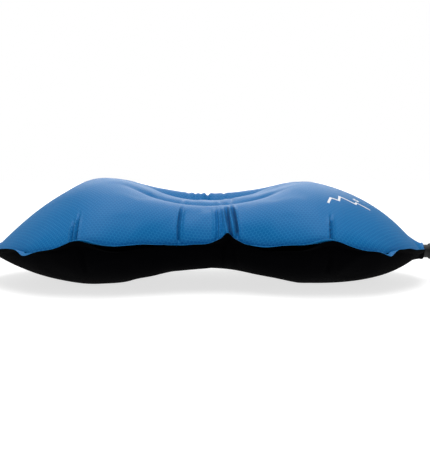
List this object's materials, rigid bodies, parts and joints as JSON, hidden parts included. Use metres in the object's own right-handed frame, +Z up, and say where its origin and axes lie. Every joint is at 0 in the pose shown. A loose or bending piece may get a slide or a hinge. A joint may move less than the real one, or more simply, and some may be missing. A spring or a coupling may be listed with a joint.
{
  "type": "inflatable camp pillow",
  "caption": "Waisted inflatable camp pillow with raised end lobes, a lower head rest with lengthwise rolls, welded edge and twist valve.",
  "frame": {"origin": "on the plane that the pillow rests on, midway between its two lobes and midway between its two long sides", "axes": "+X along the pillow's length towards the valve, +Z up, -Y towards the user's shoulders"},
  "size_m": [0.494, 0.299, 0.1077],
  "materials": {
    "top_fabric": "matte stretch knit with a fine honeycomb pattern, laminated to an airtight film",
    "bottom_fabric": "matte brushed knit, laminated to an airtight film",
    "web_fabric": "coated woven fabric",
    "valve_plastic": "moulded, lightly textured",
    "seal_rubber": "smooth"
  },
  "bodies": {
    "cushion": {"top_skin": "top_fabric", "bottom_skin": "bottom_fabric", "front_web": "web_fabric", "rear_web": "web_fabric", "valve_body": "valve_plastic", "knob_ring": "seal_rubber"},
    "plunger": {"valve_plunger": "valve_plastic", "plunger_ring": "seal_rubber"},
    "knob": {"valve_knob": "valve_plastic"}
  },
  "joints": [
    {"name": "knob_twist", "type": "hinge", "parent": "cushion", "child": "knob", "pos_m": [0.228, 0, 0.031], "axis": [1, 0, 0], "range_deg": [0, 180]},
    {"name": "plunger_lift", "type": "slide", "parent": "cushion", "child": "plunger", "axis": [-1, 0, 0], "range_m": [0, 0.003]}
  ],
  "couplings": [
    {"joint": "plunger_lift", "follows": "knob_twist", "m_per_rad": 0.00095}
  ]
}
